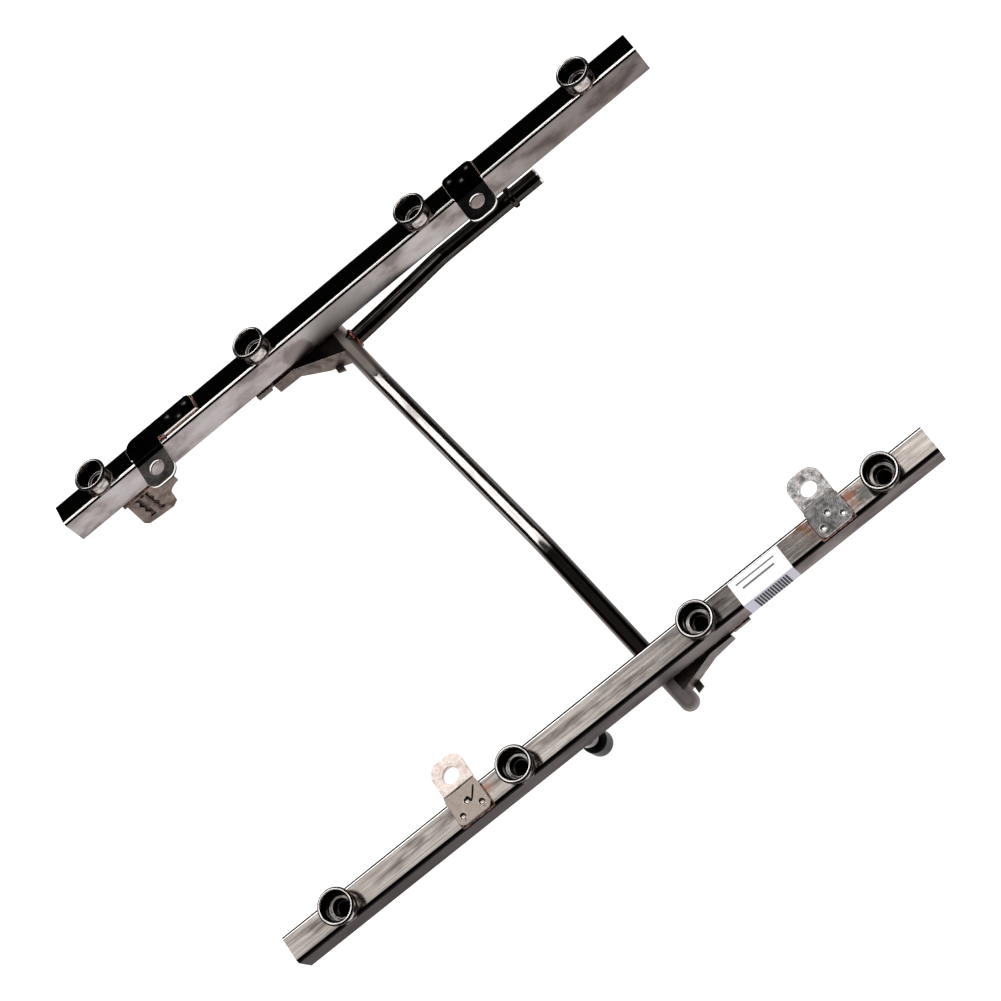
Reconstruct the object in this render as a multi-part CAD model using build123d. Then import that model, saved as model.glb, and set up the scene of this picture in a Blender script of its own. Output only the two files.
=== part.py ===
from build123d import *
import math
import os

# Twin-bank fuel rail, cups up. Millimetres, +X along the rails, +Z up.
# The working frame has x = 0 on the axis of cup a1, y = 0 midway between the banks
# and z = 0 at the middle of the cup faces. ORIGIN moves it to the bottom centre.
ORIGIN = (170.6, -2.95, -48.83)

BANK_SPACING = 290.0      # between the middles of the two cup faces
BANK_TILT = 9.0           # each cup face leans outward by this
CUP_PITCH = 111.76
CUP_COUNT = 4
BANK_SHIFT = 6.8          # bank b starts this much further along x

RAIL_WIDTH = 15.8
RAIL_DEPTH = 19.2
RAIL_CORNER = 2.0
RAIL_WALL = 1.5
LEAD_A = 33.8             # left rail end to the first cup
LEAD_B = 28.8
TAIL_A = 27.92            # last cup to the right rail end
RAIL_LENGTH = LEAD_A + (CUP_COUNT - 1) * CUP_PITCH + TAIL_A

CUP_HEIGHT = 10.2
CUP_FLARE = 4.5           # height of the flared part
CUP_LIP_R = 9.65
CUP_STEM_R = 7.6
CUP_BORE_R = 6.7
CUP_SOCKET_R = 5.6        # spigot that passes through the rail face
CUP_SOCKET_BORE_R = 4.7
CUP_SOCKET_DEPTH = 5.0
CUP_FLOOR = 0.9
FEED_HOLE_R = 3.4
SPIGOT_CLEAR = 0.05

PLUG_LENGTH = 4.0
PLUG_RECESS = 0.6
PLUG_DISH = 1.2

SHEET = 2.5               # bracket sheet
PLATE_HALF = 9.75
PLATE_OUT = 7.0
PLATE_CORNER = 3.2
TAB_HALF = 9.35
TAB_HOLE_R = 4.35
TAB_REACH = 18.35         # bolt hole from the middle plane of its bank
TAB_END = 10.1            # bolt hole to the end of the tab
TAB_CORNER = 6.5
TAB_BEND = 8.4            # bend line from the middle of the cup face
JOG_RUN = 2.33            # short slope between the plate and the level tab
JOG_ANGLE = 40.0
DIMPLE_R = 1.7
DIMPLE_DEPTH = 0.8
DIMPLES = ((-5.9, 2.7), (5.9, 2.7), (0.0, -2.2))
HOLE_A2 = 30.16           # bolt hole before cup a2
HOLE_A4 = 31.48           # bolt hole before cup a4
HOLE_B1 = 31.9            # bolt hole after cup b1
HOLE_B3 = 30.8            # bolt hole after cup b3
STRAP_LEAD = 10.3         # strap start before its bolt hole
STRAP_REACH = 35.7        # strap end after its bolt hole
STRAP_DIMPLE = 25.3
STRAP_IN = 5.3            # inner edge of the strap
STRAP_CORNER = 6.5
NOTCH_R = 1.2

TUBE_R = 5.0              # crossover tube
TUBE_WALL = 1.0
TUBE_FLAT = 0.35          # depth of the flat pressed where it meets a rail
TUBE_XS = (153.7, 162.1, 182.9, 194.4)
TUBE_END_B = 11.0         # tube end outside the middle of bank b
TUBE_KNEE_B = 52.0        # bend inside bank b
TUBE_KNEE_A = 94.0        # bend inside bank a
TUBE_END_A = 16.9
TUBE_BEND_R = 60.0
PORT_R = 2.5

INLET_R = 4.75
INLET_WALL = 0.9
INLET_BEAD_R = 6.3
INLET_BEAD_W = 3.6
INLET_BEAD_X = 275.0
INLET_START = 20.1        # joint on the crossover tube, inside the middle of bank b
# x, distance inside the middle of bank b, depth below the rail
INLET_PATH = ((184.4, 17.4, 2.8), (206.5, 14.8, 3.8), (226.0, 11.4, 6.0))
INLET_END_X = 294.0
INLET_BEND_R = 14.0

GUSSET_SHEET = 1.5
GUSSET_FLANGE = 7.5       # flange depth at the tail
GUSSET_MIDDLE = 11.5      # where the flange turns beside the rail
GUSSET_DEEP = 12.0        # flange depth beside the tube
GUSSET_IN = 6.0
GUSSET_LIP = 4.0
TAIL_OUT = 8.4
TAIL_DROP = 3.2
GUSSET_A = ((195.0, 16.0), (217.0, 9.8), (230.4, 9.8))
GUSSET_A_LIP = (199.8, 203.8)
GUSSET_A_TAIL = 242.5
GUSSET_B = ((155.5, -23.3), (126.3, -9.3), (112.4, -9.3))
GUSSET_B_LIP = (148.4, 144.0)
GUSSET_B_TAIL = 101.0

CLIP_SHEET = 1.4
CLIP_START = 5.8
CLIP_RIB = 11.75          # rib centre from the start of the clip
CLIP_EDGE = ((1.9, 0.0), (0.6, 19.0), (2.6, 22.0), (18.5, 23.7), (22.6, 21.3), (23.6, 17.5),
             (23.7, 13.8), (26.5, 11.6), (29.5, 10.4), (31.8, 10.0), (31.8, 0.0))
CLIP_SLOTS = ((-1, 2.0, 2.9), (1, 1.1, 2.4))  # side of the rib, width, middle from the rib
CLIP_LEAF_GAP = 2.2       # between the toothed leaf and the plain one behind it
CLIP_SLOT_TOP = 1.5
TOOTH_COUNT = 3
TOOTH_PITCH = 5.45
TOOTH_DEPTH = 1.6

TEST_X = CUP_PITCH + 31.74     # after cup a2
TEST_OUT = 2.4            # port axis outside the middle of the underside
TEST_BASE_R = 5.4
TEST_BASE_H = 6.0
TEST_STEM_R = 3.9
TEST_STEM_H = 24.0
TEST_BORE_R = 2.3
TEST_CAP_R = 6.7
TEST_CAP_RIM = 16.0       # underside to the open rim of the cap
TEST_CAP_H = 13.0
TEST_CAP_TOP = 2.0
TEST_CAP_CLEAR = 0.15

LABEL_X = 2 * CUP_PITCH + 21.48    # after cup a3
LABEL_LENGTH = 30.0
LABEL_THICK = 0.15

TILT = math.radians(BANK_TILT)
CUP_XS_A = [i * CUP_PITCH for i in range(CUP_COUNT)]
CUP_XS_B = [BANK_SHIFT + i * CUP_PITCH for i in range(CUP_COUNT)]
RAIL_X_A = -LEAD_A
RAIL_X_B = BANK_SHIFT - LEAD_B
BANK_Y = BANK_SPACING / 2
TUBE_PATH = tuple(zip(TUBE_XS, (BANK_Y + TUBE_END_B, BANK_Y - TUBE_KNEE_B, TUBE_KNEE_A - BANK_Y,
                                -BANK_Y - TUBE_END_A)))
TO_A = Location((0, -BANK_SPACING / 2, 0), (BANK_TILT, 0, 0))
TO_B = Location((0, BANK_SPACING / 2, 0), (-BANK_TILT, 0, 0))
OUT_A = -1                # outward sign of the local y axis of a bank
OUT_B = 1


def box_between(x0, x1, y0, y1, z0, z1):
    centre = Location(((x0 + x1) / 2, (y0 + y1) / 2, (z0 + z1) / 2))
    return centre * Box(abs(x1 - x0), abs(y1 - y0), abs(z1 - z0))


def section_bar(width, depth, corner, x0, x1):
    # rounded bar along x whose top middle line is the x axis
    plane = Plane(origin=(x0, 0, -RAIL_DEPTH / 2), x_dir=(0, 1, 0), z_dir=(1, 0, 0))
    return extrude(plane * RectangleRounded(width, depth, corner), x1 - x0)


def rod(x, y, radius, z0, z1):
    return Location((x, y, (z0 + z1) / 2)) * Cylinder(radius, abs(z1 - z0))


def under_height(y):
    # centre height of the crossover tube under a rail, measured in the working frame
    drop = RAIL_DEPTH + TUBE_R - TUBE_FLAT
    reach = BANK_SPACING / 2 - drop * math.sin(TILT)
    return -drop * math.cos(TILT) - (abs(y) - reach) * math.tan(TILT)


def tube_line(inner=False):
    heights = [under_height(y) for x, y in TUBE_PATH]
    points = [Vector(x, y, z) for (x, y), z in zip(TUBE_PATH, heights)]
    wire = FilletPolyline(*points, radius=TUBE_BEND_R)
    radius = TUBE_R - TUBE_WALL if inner else TUBE_R
    start = Plane(origin=points[0], z_dir=points[1] - points[0])
    body = sweep(start * Circle(radius), path=wire)
    return body + Location(points[0]) * Sphere(radius) + Location(points[-1]) * Sphere(radius)


def tube_x(y):
    (x0, y0), (x1, y1) = (TUBE_PATH[0], TUBE_PATH[1]) if y > 0 else (TUBE_PATH[2], TUBE_PATH[3])
    return x0 + (x1 - x0) * (y - y0) / (y1 - y0)


def port_x(bank):
    # x of the feed port between a rail and the crossover tube
    y = BANK_SPACING / 2 - (RAIL_DEPTH + TUBE_R - TUBE_FLAT) * math.sin(TILT)
    return tube_x(y if bank == "b" else -y)


def rail(x_start, cup_xs, extra_ports):
    x_end = x_start + RAIL_LENGTH
    body = section_bar(RAIL_WIDTH, RAIL_DEPTH, RAIL_CORNER, x_start, x_end)
    hollow_w = RAIL_WIDTH - 2 * RAIL_WALL
    hollow_d = RAIL_DEPTH - 2 * RAIL_WALL
    body -= section_bar(hollow_w, hollow_d, RAIL_CORNER - RAIL_WALL * 0.8, x_start - 1, x_end + 1)
    for x in cup_xs:
        body -= rod(x, 0, CUP_SOCKET_R + SPIGOT_CLEAR, -RAIL_WALL - 1, 1)
    for x, y, radius in extra_ports:
        body -= rod(x, y, radius, -RAIL_DEPTH - 1, -RAIL_DEPTH + RAIL_WALL + 1)
    return body


def end_plug(x_face, inward):
    # pressed plug, dished on the outside
    x0 = x_face + inward * PLUG_RECESS
    x1 = x0 + inward * PLUG_LENGTH
    width = RAIL_WIDTH - 2 * RAIL_WALL
    depth = RAIL_DEPTH - 2 * RAIL_WALL
    body = section_bar(width, depth, RAIL_CORNER - RAIL_WALL * 0.8, min(x0, x1), max(x0, x1))
    dish = Location((x0, 0, -RAIL_DEPTH / 2)) * Box(2 * PLUG_DISH, width - 4.4, depth - 4.4)
    dish = fillet(dish.edges().filter_by(Axis.X), 2.0)
    body -= dish
    return body


def cup(x):
    neck = CUP_HEIGHT - CUP_FLARE
    top = neck + 1.2
    with BuildSketch(Plane.XZ) as profile:
        with BuildLine():
            Polyline((FEED_HOLE_R, -CUP_SOCKET_DEPTH), (CUP_SOCKET_R, -CUP_SOCKET_DEPTH), (CUP_SOCKET_R, 0),
                     (CUP_STEM_R, 0), (CUP_STEM_R, neck))
            Spline((CUP_STEM_R, neck), (CUP_STEM_R + 0.75, CUP_HEIGHT - 2.5), (CUP_LIP_R, CUP_HEIGHT - 1.1),
                   tangents=((0, 1), (1, 0.25)))
            Line((CUP_LIP_R, CUP_HEIGHT - 1.1), (CUP_LIP_R, CUP_HEIGHT - 0.4))
            Line((CUP_LIP_R, CUP_HEIGHT - 0.4), (CUP_LIP_R - 0.4, CUP_HEIGHT))
            Line((CUP_LIP_R - 0.4, CUP_HEIGHT), (CUP_LIP_R - 1.2, CUP_HEIGHT))
            Spline((CUP_LIP_R - 1.2, CUP_HEIGHT), (CUP_BORE_R + 0.75, CUP_HEIGHT - 1.2), (CUP_BORE_R, top),
                   tangents=((-1, -0.25), (-0.25, -1)))
            Polyline((CUP_BORE_R, top), (CUP_BORE_R, CUP_FLOOR), (CUP_SOCKET_BORE_R, CUP_FLOOR),
                     (CUP_SOCKET_BORE_R, -CUP_SOCKET_DEPTH + CUP_FLOOR),
                     (FEED_HOLE_R, -CUP_SOCKET_DEPTH + CUP_FLOOR), (FEED_HOLE_R, -CUP_SOCKET_DEPTH))
        make_face()
    return Location((x, 0, 0)) * revolve(profile.sketch, Axis.Z)


def offset_line(line, amount):
    # the line moved to its left, with mitred corners
    steps = []
    for (xa, ya), (xb, yb) in zip(line, line[1:]):
        length = math.hypot(xb - xa, yb - ya)
        steps.append(Vector(-(yb - ya) / length, (xb - xa) / length))
    steps = [steps[0]] + steps + [steps[-1]]
    moved = []
    for (x, y), before, after in zip(line, steps, steps[1:]):
        mitre = (before + after) * (amount / (1 + before.dot(after)))
        moved.append((x + mitre.X, y + mitre.Y))
    return moved


def tab_line():
    # underside of a bracket at its tab, seen along the rail: plate, short slope, level tab
    slope = TILT + math.radians(JOG_ANGLE)
    foot = (-TAB_BEND - JOG_RUN * math.cos(slope), -JOG_RUN * math.sin(slope))
    reach = TAB_REACH + foot[0] * math.cos(TILT) + foot[1] * math.sin(TILT)
    hole = (foot[0] - reach * math.cos(TILT), foot[1] - reach * math.sin(TILT))
    tip = (hole[0] - TAB_END * math.cos(TILT), hole[1] - TAB_END * math.sin(TILT))
    return [(0.0, 0.0), (-TAB_BEND, 0.0), foot, tip], hole


def bolt_tab(x):
    line, hole = tab_line()
    outline = line + offset_line(line, -SHEET)[::-1]
    tab = extrude(Plane.YZ * make_face(Polyline(*outline, close=True)), 2 * TAB_HALF)
    tab = Location((x - TAB_HALF, 0, 0)) * tab
    tip = tab.faces().sort_by(Axis.Y)[0]
    tab = fillet([edge for edge in tip.edges() if abs(edge.length - SHEET) < 0.01], TAB_CORNER)
    drill = Location((x, hole[0], hole[1]), (BANK_TILT, 0, 0)) * Cylinder(TAB_HOLE_R, 6 * SHEET)
    return tab - drill


def bracket(hole_x, x0, x1, y_in, dimple_x, corner, out):
    # plate on the cup face plus a level bolt tab, drawn with outward = +y
    plate = box_between(x0, x1, -y_in, PLATE_OUT, 0, SHEET)
    left, right = plate.edges().filter_by(Axis.Z).sort_by(Axis.Y)[-2:].sort_by(Axis.X)
    plate = fillet(right, PLATE_CORNER)
    left = plate.edges().filter_by(Axis.Z).filter_by(lambda edge: edge.center().X < x0 + 0.01)
    left = left.sort_by(Axis.Y)[-1]
    plate = fillet(left, corner)
    body = plate + bolt_tab(hole_x)
    for dx, dy in DIMPLES:
        ball_r = (DIMPLE_R ** 2 + DIMPLE_DEPTH ** 2) / (2 * DIMPLE_DEPTH)
        spot = (dimple_x + dx, dy, SHEET + ball_r - DIMPLE_DEPTH)
        body -= Location(spot) * Sphere(ball_r)
    if y_in < TAB_BEND:
        # relief notch beside the root of the tab
        body -= rod(hole_x + TAB_HALF + NOTCH_R, -y_in, NOTCH_R, -1, SHEET + 1)
    return body if out > 0 else mirror(body, Plane.XZ)


def crossover(rails, inlet_hole):
    body = tube_line() - tube_line(inner=True)
    for place, x in rails:
        level = -RAIL_DEPTH
        body -= place * box_between(x - 30, x + 30, -60, 60, level, level + 30)
        body -= place * rod(x, 0, PORT_R, level - TUBE_R, level + 1)
    return body - inlet_hole


def inlet_points():
    y = BANK_Y - INLET_START
    points = [Vector(tube_x(y), y, under_height(y))]
    points += [Vector(x, BANK_Y - inside, -RAIL_DEPTH - below) for x, inside, below in INLET_PATH]
    return points + [Vector(INLET_END_X, points[-1].Y, points[-1].Z)]


def inlet_rod(radius):
    points = inlet_points()
    wire = FilletPolyline(*points, radius=INLET_BEND_R)
    start = Plane(origin=points[0], z_dir=points[1] - points[0])
    return sweep(start * Circle(radius), path=wire)


def inlet(tube_outside):
    end = inlet_points()[-1]
    body = inlet_rod(INLET_R)
    bead = Location((INLET_BEAD_X, end.Y, end.Z), (0, 90, 0)) * Cylinder(INLET_BEAD_R, INLET_BEAD_W)
    bead = fillet(bead.edges(), INLET_BEAD_W * 0.42)
    body += bead
    body = fillet(body.faces().sort_by(Axis.X)[-1].edges(), 0.6)
    return body - inlet_rod(INLET_R - INLET_WALL) - tube_outside


def gusset(place, out, edge_line, lip_x, tail, middle, tube_outside):
    # plate under the rail with a flange turned down along edge_line, drawn with outward = +y
    level = -RAIL_DEPTH
    side = 1 if edge_line[0][1] > 0 else -1
    away = 1 if tail > edge_line[0][0] else -1
    (x0, y0), (x1, y1), (x2, y2) = edge_line
    outline = [(x0, -GUSSET_IN * side), *edge_line, (x2, TAIL_OUT * side), (tail, TAIL_OUT * side),
               (tail, -GUSSET_IN * side)]
    plate = extrude(make_face(Polyline(*outline, close=True)), -GUSSET_SHEET)
    ring = list(edge_line) + offset_line(edge_line, -GUSSET_SHEET)[::-1]
    flange = extrude(make_face(Polyline(*ring, close=True)), -GUSSET_DEEP)
    half_x = (x0 + x1) / 2
    start = x0 - 3 * away
    stop = x2 + 3 * away
    below = [(start, -GUSSET_DEEP), (half_x, -GUSSET_DEEP), (x1, -middle), (x2, -GUSSET_FLANGE),
             (stop, -GUSSET_FLANGE), (stop, -2 * GUSSET_DEEP), (start, -2 * GUSSET_DEEP)]
    flange -= extrude(Plane.XZ * make_face(Polyline(*below, close=True)), 60, both=True)
    edge_y = [y0 + (y1 - y0) * (x - x0) / (x1 - x0) for x in lip_x]
    lip = [(lip_x[0], edge_y[0] - side), (lip_x[0], edge_y[0] + GUSSET_LIP * side),
           (lip_x[1], edge_y[1] + GUSSET_LIP * side), (lip_x[1], edge_y[1] - side)]
    lip = extrude(make_face(Polyline(*lip, close=True)), -GUSSET_SHEET)
    lip = Location((0, 0, GUSSET_SHEET - GUSSET_DEEP)) * lip
    fold = box_between(x2 + 2 * away, tail, (TAIL_OUT - GUSSET_SHEET) * side, TAIL_OUT * side, -TAIL_DROP, 0)
    body = Location((0, 0, level)) * (plate + flange + lip + fold)
    if out < 0:
        body = mirror(body, Plane.XZ)
    return place * body - tube_outside


def saw_slot(x, lean, width):
    # slot in the web with a zigzag of teeth along its outer edge
    near = x - lean * width / 2
    tip = x + lean * width / 2
    root = tip + lean * TOOTH_DEPTH
    top = -RAIL_DEPTH - CLIP_SLOT_TOP
    points = [(near, top), (root, top)]
    for tooth in range(TOOTH_COUNT):
        points.append((tip, top - (tooth + 0.5) * TOOTH_PITCH))
        points.append((root, top - (tooth + 1) * TOOTH_PITCH))
    bottom = top - TOOTH_COUNT * TOOTH_PITCH - TOOTH_DEPTH / 2
    points.append((root, bottom))
    points.append((near, bottom))
    cutter = extrude(Plane.XZ * make_face(Polyline(*points, close=True)), -CLIP_SHEET - 2)
    return Location((0, -RAIL_WIDTH / 2 - 1.3, 0)) * cutter


def clip_plate():
    # foot brazed under the rail, a toothed leaf and a plain leaf hanging from it, outward = +y
    level = -RAIL_DEPTH
    inner = -RAIL_WIDTH / 2 - 0.3
    foot = box_between(CLIP_START, CLIP_START + CLIP_EDGE[-1][0], inner, 5.0, level - CLIP_SHEET, level)
    edge = [(CLIP_START + x, level - down) for x, down in CLIP_EDGE]
    web = extrude(Plane.XZ * make_face(Polyline(*edge, close=True)), -CLIP_SHEET)
    web = Location((0, inner, 0)) * web
    middle = CLIP_START + CLIP_RIB
    low = level - CLIP_EDGE[2][1]
    rib = box_between(middle - 1.3, middle + 1.3, inner - 1.0, inner + 0.2, low + 3.3, level - 1.8)
    rib = fillet(rib.edges().filter_by(Axis.Z).sort_by(Axis.Y)[:2], 0.9)
    groove = box_between(middle - 0.5, middle + 0.5, inner + 0.4, inner + CLIP_SHEET + 1, low + 4.0, level - 2.5)
    body = foot + web + rib - groove
    for lean, width, gap in CLIP_SLOTS:
        body -= saw_slot(middle + lean * gap, lean, width)
    back = [(CLIP_START + x, level - down * 0.94) for x, down in CLIP_EDGE[:-4]]
    back += [(CLIP_START + CLIP_EDGE[-5][0], level)]
    leaf = extrude(Plane.XZ * make_face(Polyline(*back, close=True)), -CLIP_SHEET)
    return body + Location((0, inner + CLIP_SHEET + CLIP_LEAF_GAP, 0)) * leaf


def test_body():
    level = -RAIL_DEPTH
    y = TEST_OUT
    base = rod(TEST_X, y, TEST_BASE_R, level - TEST_BASE_H, level)
    base = chamfer(base.edges().sort_by(Axis.Z)[0], 0.8)
    stem = rod(TEST_X, y, TEST_STEM_R, level - TEST_STEM_H, level)
    stem = chamfer(stem.edges().sort_by(Axis.Z)[0], 0.6)
    spigot = rod(TEST_X, y, TEST_BORE_R + 0.9, level, level + RAIL_WALL)
    bore = rod(TEST_X, y, TEST_BORE_R, level - TEST_STEM_H - 1, level + RAIL_WALL + 1)
    collar = rod(TEST_X, y, TEST_STEM_R + 0.9, level - TEST_BASE_H - 2.2, level - TEST_BASE_H)
    return base + stem + collar + spigot - bore


def test_core():
    level = -RAIL_DEPTH
    body = rod(TEST_X, TEST_OUT, TEST_BORE_R, level - 20.0, level - 8.0)
    pin = rod(TEST_X, TEST_OUT, 0.8, level - 22.5, level - 4.0)
    return body + pin


def test_cap():
    rim = -RAIL_DEPTH - TEST_CAP_RIM
    body = rod(TEST_X, TEST_OUT, TEST_CAP_R, rim - TEST_CAP_H, rim)
    body = fillet(body.edges().sort_by(Axis.Z)[0], 1.4)
    body = chamfer(body.edges().sort_by(Axis.Z)[-1], 0.5)
    inside = TEST_STEM_R + TEST_CAP_CLEAR
    body -= rod(TEST_X, TEST_OUT, inside, rim - TEST_CAP_H + TEST_CAP_TOP, rim + 1)
    seat = -RAIL_DEPTH - TEST_STEM_H
    floor = rim - TEST_CAP_H + TEST_CAP_TOP
    stop = rod(TEST_X, TEST_OUT, TEST_STEM_R - 0.8, floor, seat)
    body += stop - rod(TEST_X, TEST_OUT, 1.4, floor - 0.5, seat + 1)
    return body


def label():
    # paper around the cup face and the outer side of the rail
    x1 = LABEL_X + LABEL_LENGTH
    grow = 2 * LABEL_THICK
    ring = section_bar(RAIL_WIDTH + grow, RAIL_DEPTH + grow, RAIL_CORNER + LABEL_THICK, LABEL_X, x1)
    ring -= section_bar(RAIL_WIDTH, RAIL_DEPTH, RAIL_CORNER, LABEL_X - 1, x1 + 1)
    keep = box_between(LABEL_X - 1, x1 + 1, -5.9, 20, -RAIL_DEPTH + 2.0, 5)
    return mirror(ring & keep, Plane.XZ)


tube_solid = tube_line()
inlet_bore = inlet_rod(INLET_R - INLET_WALL)
port_a = port_x("a")
port_b = port_x("b")

nodes = {}
nodes["rail_tube_a"] = TO_A * rail(RAIL_X_A, CUP_XS_A, [(port_a, 0, PORT_R),
                                                        (TEST_X, OUT_A * TEST_OUT, TEST_BORE_R + 0.9)])
nodes["rail_tube_b"] = TO_B * rail(RAIL_X_B, CUP_XS_B, [(port_b, 0, PORT_R)])
nodes["end_plug_a_left"] = TO_A * end_plug(RAIL_X_A, 1)
nodes["end_plug_a_right"] = TO_A * end_plug(RAIL_X_A + RAIL_LENGTH, -1)
nodes["end_plug_b_left"] = TO_B * end_plug(RAIL_X_B, 1)
nodes["end_plug_b_right"] = TO_B * end_plug(RAIL_X_B + RAIL_LENGTH, -1)
for index, x in enumerate(CUP_XS_A):
    nodes[f"injector_cup_a{index + 1}"] = TO_A * cup(x)
for index, x in enumerate(CUP_XS_B):
    nodes[f"injector_cup_b{index + 1}"] = TO_B * cup(x)
for name, place, x, out in (("bracket_a_left", TO_A, CUP_XS_A[1] - HOLE_A2, OUT_A),
                            ("bracket_a_right", TO_A, CUP_XS_A[3] - HOLE_A4, OUT_A),
                            ("bracket_b_right", TO_B, CUP_XS_B[2] + HOLE_B3, OUT_B)):
    nodes[name] = place * bracket(x, x - PLATE_HALF, x + PLATE_HALF, TAB_BEND, x, PLATE_CORNER, out)
strap_x = CUP_XS_B[0] + HOLE_B1
nodes["bracket_b_left"] = TO_B * bracket(strap_x, strap_x - STRAP_LEAD, strap_x + STRAP_REACH, STRAP_IN,
                                         strap_x + STRAP_DIMPLE, STRAP_CORNER, OUT_B)
nodes["crossover_tube"] = crossover(((TO_A, port_a), (TO_B, port_b)), inlet_bore)
nodes["inlet_tube"] = inlet(tube_solid)
nodes["crossover_gusset_a"] = gusset(TO_A, OUT_A, GUSSET_A, GUSSET_A_LIP, GUSSET_A_TAIL, GUSSET_MIDDLE,
                                     tube_solid)
nodes["crossover_gusset_b"] = gusset(TO_B, OUT_B, GUSSET_B, GUSSET_B_LIP, GUSSET_B_TAIL, GUSSET_FLANGE + 0.5,
                                     tube_solid)
nodes["harness_clip_plate"] = TO_B * clip_plate()
nodes["test_port_body"] = TO_A * mirror(test_body(), Plane.XZ)
nodes["test_port_core"] = TO_A * mirror(test_core(), Plane.XZ)
nodes["test_port_cap"] = TO_A * mirror(test_cap(), Plane.XZ)
nodes["paper_label"] = TO_A * label()

os.makedirs("parts", exist_ok=True)
shift = Location((-ORIGIN[0], -ORIGIN[1], -ORIGIN[2]))
low = [1e9, 1e9, 1e9]
high = [-1e9, -1e9, -1e9]
for name, shape in nodes.items():
    solids = shape.solids()
    placed = shift * (solids[0] if len(solids) == 1 else Compound(solids))
    box = placed.bounding_box()
    low = [min(a, b) for a, b in zip(low, (box.min.X, box.min.Y, box.min.Z))]
    high = [max(a, b) for a, b in zip(high, (box.max.X, box.max.Y, box.max.Z))]
    export_step(placed, f"parts/{name}.step")
    print(f"{name} solids {len(solids)} volume {placed.volume:.1f}")
print("low", [round(v, 3) for v in low], "high", [round(v, 3) for v in high])
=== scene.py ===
import math
import random
import bpy
import bmesh
from mathutils import Matrix, Vector


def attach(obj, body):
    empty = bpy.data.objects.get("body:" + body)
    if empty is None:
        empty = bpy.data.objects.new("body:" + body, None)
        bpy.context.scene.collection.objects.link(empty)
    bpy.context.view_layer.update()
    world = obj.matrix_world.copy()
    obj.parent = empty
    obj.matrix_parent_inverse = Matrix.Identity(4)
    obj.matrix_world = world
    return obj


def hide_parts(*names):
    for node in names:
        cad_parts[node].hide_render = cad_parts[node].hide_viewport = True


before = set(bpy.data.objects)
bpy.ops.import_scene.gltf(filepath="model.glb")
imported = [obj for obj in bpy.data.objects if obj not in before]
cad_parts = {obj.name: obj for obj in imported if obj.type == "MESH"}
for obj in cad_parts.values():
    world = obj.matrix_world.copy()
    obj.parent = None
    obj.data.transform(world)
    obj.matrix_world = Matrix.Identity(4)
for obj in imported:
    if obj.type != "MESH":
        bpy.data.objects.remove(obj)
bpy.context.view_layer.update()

# Fuel rail, cups up. Metres in the scene, millimetres in the dictionaries below.
# Each bank is drawn in its own frame: x along the rail from the first cup of bank a,
# y across the cup face and z up from it. outward is the sign of y away from the other bank.
banks = {
    "a": {"y": -142.05, "tilt": 9.0, "outward": -1, "cups": (0.0, 111.76, 223.52, 335.28)},
    "b": {"y": 147.95, "tilt": -9.0, "outward": 1, "cups": (6.8, 118.56, 230.32, 342.08)},
}
firstCup = {"x": -170.6, "z": 48.83}
railWidth = 15.8  # across the cup face


def bankPlace(bank):
    spot = (firstCup["x"] / 1000, banks[bank]["y"] / 1000, firstCup["z"] / 1000)
    turn = Matrix.Rotation(math.radians(banks[bank]["tilt"]), 4, "X")
    return Matrix.Translation(spot) @ turn @ Matrix.Scale(0.001, 4)


def inScene(bank, point):
    # a point of a bank's frame, in metres
    return bankPlace(bank) @ Vector(point)


def hexColour(text):
    channels = [int(text[i:i + 2], 16) / 255 for i in (1, 3, 5)]
    return [c / 12.92 if c <= 0.04045 else ((c + 0.055) / 1.055) ** 2.4 for c in channels] + [1.0]


def addNode(tree, kind, inputs=None, output=None, stops=None, **settings):
    # one node with its settings, links and ramp stops; gives the node, or the named output
    node = tree.nodes.new(kind)
    for name, value in settings.items():
        setattr(node, name, value)
    for socket, value in (inputs or {}).items():
        if isinstance(value, bpy.types.NodeSocket):
            tree.links.new(value, node.inputs[socket])
        else:
            node.inputs[socket].default_value = value
    if stops:
        elements = node.color_ramp.elements
        while len(elements) < len(stops):
            elements.new(0.5)
        for element, (place, colour) in zip(elements, stops):
            element.position = place
            element.color = hexColour(colour)
    return node if output is None else node.outputs[output]


def perMm(*sizes):
    # scale at which one pattern cell has the given sizes in millimetres
    return [1000 / size for size in sizes]


def startMaterial(name, metallic, roughness):
    material = bpy.data.materials.new(name)
    material.use_nodes = True
    tree = material.node_tree
    tree.nodes.clear()
    shader = addNode(tree, "ShaderNodeBsdfPrincipled", {"Metallic": metallic, "Roughness": roughness})
    addNode(tree, "ShaderNodeOutputMaterial", {"Surface": shader.outputs["BSDF"]})
    return material, tree, shader


# Span of each noise pattern that is spread over its whole effect, as range inputs 1 and 2: the narrower
# the span, the stronger the contrast
noiseSpan = {"wander": {1: 0.3, 2: 0.7}, "cloud": {1: 0.38, 2: 0.62}, "streak": {1: 0.3, 2: 0.7},
             "blotch": {1: 0.35, 2: 0.68}, "wear": {1: 0.7, 2: 1.3}, "grain": {1: 0.3, 2: 0.7}}
slopeSoftness = {"low": 0.04, "high": 0.01}  # how softly a band of slopes begins and ends, as cosines
relief = {"streaksOverFine": 1.5, "depth": 0.0002}  # share of the streaks in the bump, and its depth in metres
sharpAngle = {"turned": 40, "sheet": 40, "ring": 50, "bead": 60}  # degrees from which an edge stays crisp


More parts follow.
